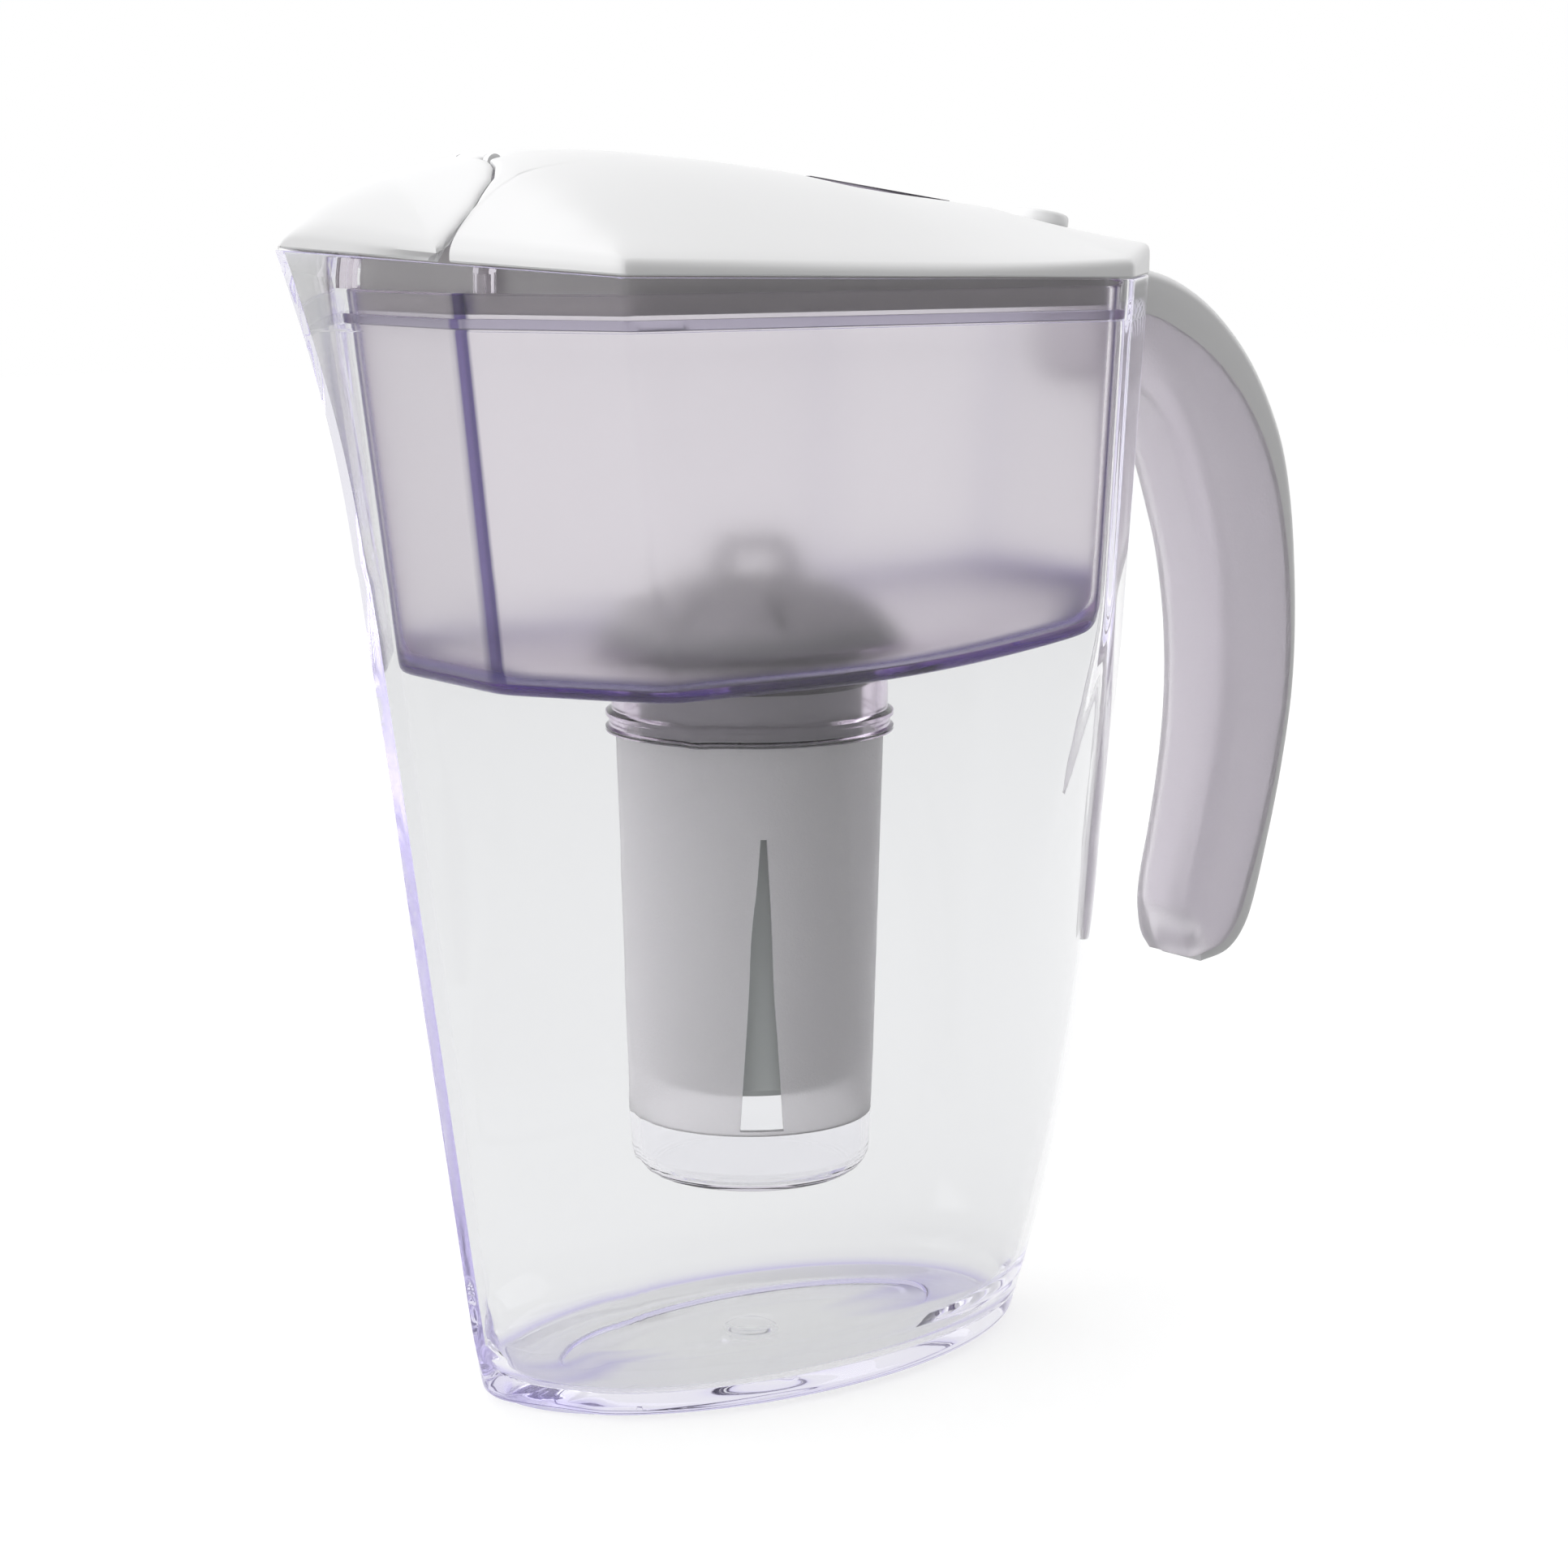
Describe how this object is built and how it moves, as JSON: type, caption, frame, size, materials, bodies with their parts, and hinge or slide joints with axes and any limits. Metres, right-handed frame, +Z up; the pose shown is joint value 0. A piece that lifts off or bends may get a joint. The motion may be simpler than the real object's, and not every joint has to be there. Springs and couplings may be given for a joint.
{
  "type": "water filter pitcher",
  "caption": "Slim clear water filter pitcher with a lift-out tinted hopper, a hanging filter cartridge, an open-ended handle and a white lid with a flip spout and a push button.",
  "frame": {"origin": "centre of the base on the table, below the axis of the filter well", "axes": "+Z up, -X towards the spout, +X towards the handle, Y across"},
  "size_m": [0.2554, 0.1082, 0.2525],
  "materials": {
    "clear_plastic": "clear, polished",
    "tinted_plastic": "clear with a violet tint, frosted inside",
    "frosted_plastic": "translucent, frosted",
    "white_plastic": "satin white",
    "grey_plastic": "matt grey",
    "cartridge_plastic": "matt pale grey",
    "seal_rubber": "soft",
    "screen_fabric": "fine mesh",
    "filter_media": "granular",
    "pin_steel": "bright",
    "lens_plastic": "clear, polished",
    "dark_plastic": "matt black"
  },
  "bodies": {
    "pitcher": {"pitcher_body": "clear_plastic", "handle_grip": "frosted_plastic", "handle_cap": "white_plastic"},
    "hopper": {"hopper": "tinted_plastic", "hopper_neck": "tinted_plastic", "hopper_catches": "tinted_plastic", "well_tube": "frosted_plastic", "well_cup": "clear_plastic"},
    "cartridge": {"cartridge_shell": "cartridge_plastic", "cartridge_dome": "cartridge_plastic", "cartridge_tab": "cartridge_plastic", "cartridge_seal": "seal_rubber", "cartridge_screens": "screen_fabric", "cartridge_media": "filter_media"},
    "lid": {"lid_cover": "white_plastic", "lid_skirt": "grey_plastic", "lid_hinge_ears": "white_plastic", "flap_pin": "pin_steel", "window_lens": "lens_plastic", "window_bar": "dark_plastic", "indicator_pod": "grey_plastic", "button_guide": "white_plastic", "button_spring": "pin_steel"},
    "flap": {"spout_flap": "white_plastic"},
    "button": {"counter_button": "white_plastic"}
  },
  "joints": [
    {"name": "hopper_lift", "type": "slide", "parent": "pitcher", "child": "hopper", "axis": [0, 0, 1], "range_m": [0, 0.2]},
    {"name": "cartridge_pull", "type": "slide", "parent": "hopper", "child": "cartridge", "axis": [0, 0, 1], "range_m": [0, 0.045]},
    {"name": "lid_lift", "type": "slide", "parent": "hopper", "child": "lid", "axis": [0, 0, 1], "range_m": [0, 0.08]},
    {"name": "flap_hinge", "type": "hinge", "parent": "lid", "child": "flap", "pos_m": [-0.0645, 0, 0.24966], "axis": [0, 1, 0], "range_deg": [0, 70]},
    {"name": "button_press", "type": "slide", "parent": "lid", "child": "button", "axis": [-0.1837, 0, -0.983], "range_m": [0, 0.0015], "stiffness_N_per_m": 600, "springref_m": -0.001, "deforming": ["button_spring"]}
  ]
}
